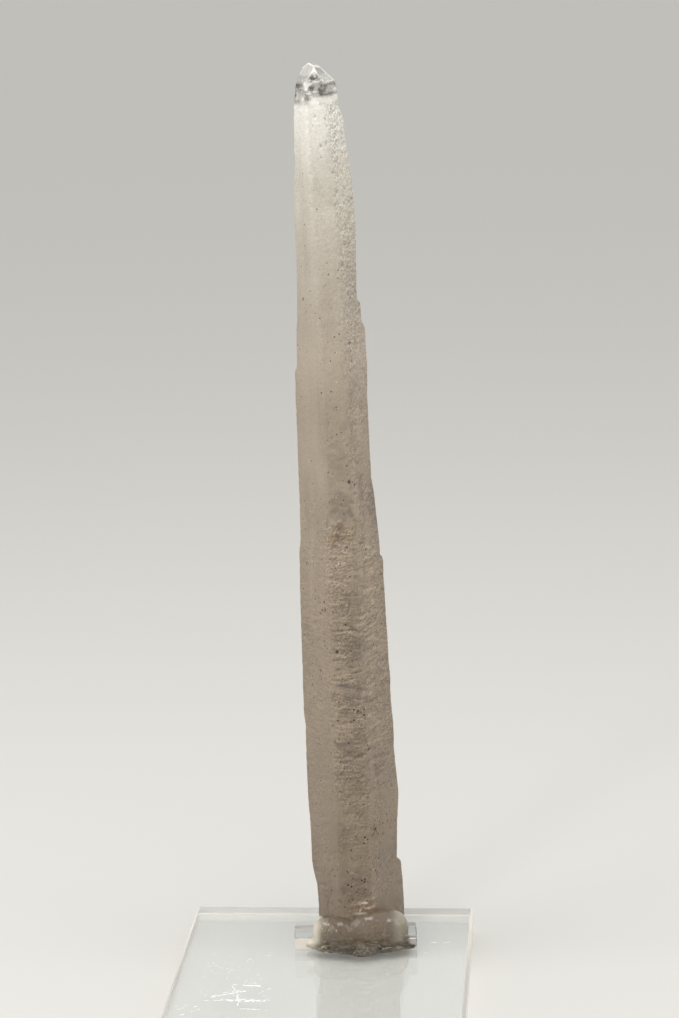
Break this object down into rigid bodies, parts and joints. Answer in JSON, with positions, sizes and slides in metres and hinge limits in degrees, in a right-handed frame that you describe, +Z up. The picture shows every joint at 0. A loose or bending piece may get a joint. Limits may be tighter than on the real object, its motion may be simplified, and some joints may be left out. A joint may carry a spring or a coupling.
{
  "type": "quartz crystal specimen on a clear base",
  "caption": "Slender tapering six-sided quartz crystal, frosted with a clear point, glued upright at the back of a small square clear acrylic slab.",
  "frame": {"origin": "centre of the slab's underside, which is the surface the object stands on", "axes": "+Z up along the crystal, +X to the right and +Y away for someone who faces the crystal across the slab's long free part"},
  "size_m": [0.0508, 0.0508, 0.1591],
  "materials": {
    "quartz": "natural growth faces, frosted and finely lined, glassy at the point",
    "glue": "set clear glue, glossy and slightly cloudy",
    "strip_acrylic": "clear sheet with frosted sawn edges",
    "slab_acrylic": "clear polished faces, frosted sawn edges, lightly scratched top"
  },
  "bodies": {
    "root": {"quartz_crystal": "quartz", "glue": "glue", "foot_strip": "strip_acrylic", "acrylic_slab": "slab_acrylic"}
  },
  "joints": []
}
